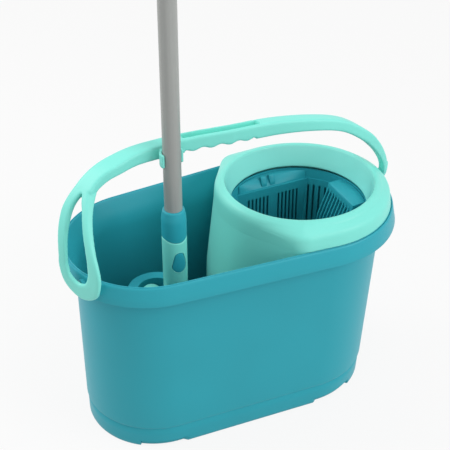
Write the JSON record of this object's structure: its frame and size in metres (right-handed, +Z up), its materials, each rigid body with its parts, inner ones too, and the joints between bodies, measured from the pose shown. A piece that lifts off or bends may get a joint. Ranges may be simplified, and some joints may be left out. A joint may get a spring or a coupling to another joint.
{
  "type": "spin mop with bucket",
  "caption": "Egg-shaped wash bucket with a splash housing and a slotted spin basket, a carry handle with a pole clip, and a folding flat mop on a push-to-spin pole.",
  "frame": {"origin": "on the floor under the middle of the bucket", "axes": "+Z up, +X along the bucket towards the basket end, -Y the front that the picture shows"},
  "size_m": [0.5131, 0.277, 1.04],
  "materials": {
    "teal": "satin moulded plastic",
    "mint": "smooth moulded plastic",
    "pole_grey": "satin grey coating on steel tube",
    "grip_teal": "soft grip sleeve",
    "steel": "plain steel",
    "white_plastic": "plain bearing plastic",
    "wing_plastic": "satin moulded plastic",
    "microfibre": "short microfibre pile"
  },
  "bodies": {
    "tub": {"bucket": "teal", "housing": "mint", "basket_spindle": "steel", "thrust_washer": "white_plastic", "spindle_nut": "steel"},
    "carry_handle": {"carry_handle": "mint", "handle_pin_left": "steel", "handle_pin_right": "steel"},
    "basket": {"spin_basket": "teal", "basket_bush": "white_plastic"},
    "pole": {"lower_tube": "pole_grey", "tube_guide": "white_plastic", "collar": "teal", "joint_housing": "mint", "upper_joint_pin": "steel", "drive_rod": "steel", "rod_anchor": "white_plastic"},
    "upper_pole": {"upper_tube": "pole_grey", "hand_grip": "grip_teal", "end_cap": "teal", "nut_cage": "white_plastic", "cage_plug": "white_plastic"},
    "drive_nut": {"drive_nut": "white_plastic"},
    "lock_sleeve": {"lock_sleeve": "mint"},
    "release_button": {"release_button": "teal", "button_spring": "steel"},
    "knuckle": {"joint_knuckle": "wing_plastic"},
    "head": {"head_hub": "teal", "lower_joint_pin": "steel", "wing_pin_left": "steel", "wing_pin_right": "steel"},
    "foot_pedal": {"foot_pedal": "mint", "pedal_spring": "steel"},
    "wing_left": {"wing_left": "wing_plastic", "mop_cover_left": "microfibre"},
    "wing_right": {"wing_right": "wing_plastic", "mop_cover_right": "microfibre"}
  },
  "joints": [
    {"name": "handle_swing", "type": "hinge", "parent": "tub", "child": "carry_handle", "pos_m": [0.0023, -0.0072, 0.279], "axis": [0.9867, 0.1625, 0], "range_deg": [-60, 0]},
    {"name": "basket_spin", "type": "hinge", "parent": "tub", "child": "basket", "pos_m": [0.109, 0, 0.06], "axis": [0, 0, 1], "continuous": true},
    {"name": "mop_lift", "type": "slide", "parent": "tub", "child": "pole", "axis": [0, 0, 1], "range_m": [0, 0.055]},
    {"name": "handle_push", "type": "slide", "parent": "pole", "child": "upper_pole", "axis": [0, 0, 1], "range_m": [-0.09, 0.2]},
    {"name": "nut_spin", "type": "hinge", "parent": "upper_pole", "child": "drive_nut", "pos_m": [-0.09, -0.017, 0.517], "axis": [0, 0, 1], "range_deg": [-280, 610]},
    {"name": "sleeve_twist", "type": "hinge", "parent": "pole", "child": "lock_sleeve", "pos_m": [-0.09, -0.017, 0.77], "axis": [0, 0, 1], "range_deg": [0, 60]},
    {"name": "button_press", "type": "slide", "parent": "pole", "child": "release_button", "axis": [0, 1, 0], "range_m": [0, 0.003], "stiffness_N_per_m": 800, "springref_m": -0.002},
    {"name": "head_tilt", "type": "hinge", "parent": "pole", "child": "knuckle", "pos_m": [-0.09, -0.017, 0.214], "axis": [0.9867, 0.1625, 0], "range_deg": [-6, 6]},
    {"name": "head_roll", "type": "hinge", "parent": "knuckle", "child": "head", "pos_m": [-0.09, -0.017, 0.194], "axis": [-0.1625, 0.9867, 0], "range_deg": [-2, 8]},
    {"name": "pedal_press", "type": "slide", "parent": "head", "child": "foot_pedal", "axis": [0, 0, -1], "range_m": [0, 0.004], "stiffness_N_per_m": 800, "springref_m": -0.002},
    {"name": "wing_left_fold", "type": "hinge", "parent": "head", "child": "wing_left", "pos_m": [-0.13423, 0.01397, 0.166], "axis": [0.5736, 0.8192, 0], "range_deg": [0, 6]},
    {"name": "wing_right_fold", "type": "hinge", "parent": "head", "child": "wing_right", "pos_m": [-0.07198, -0.02962, 0.166], "axis": [-0.5736, -0.8192, 0], "range_deg": [0, 6]}
  ],
  "couplings": [
    {"joint": "nut_spin", "follows": "handle_push", "rad_per_m": 52.36}
  ]
}
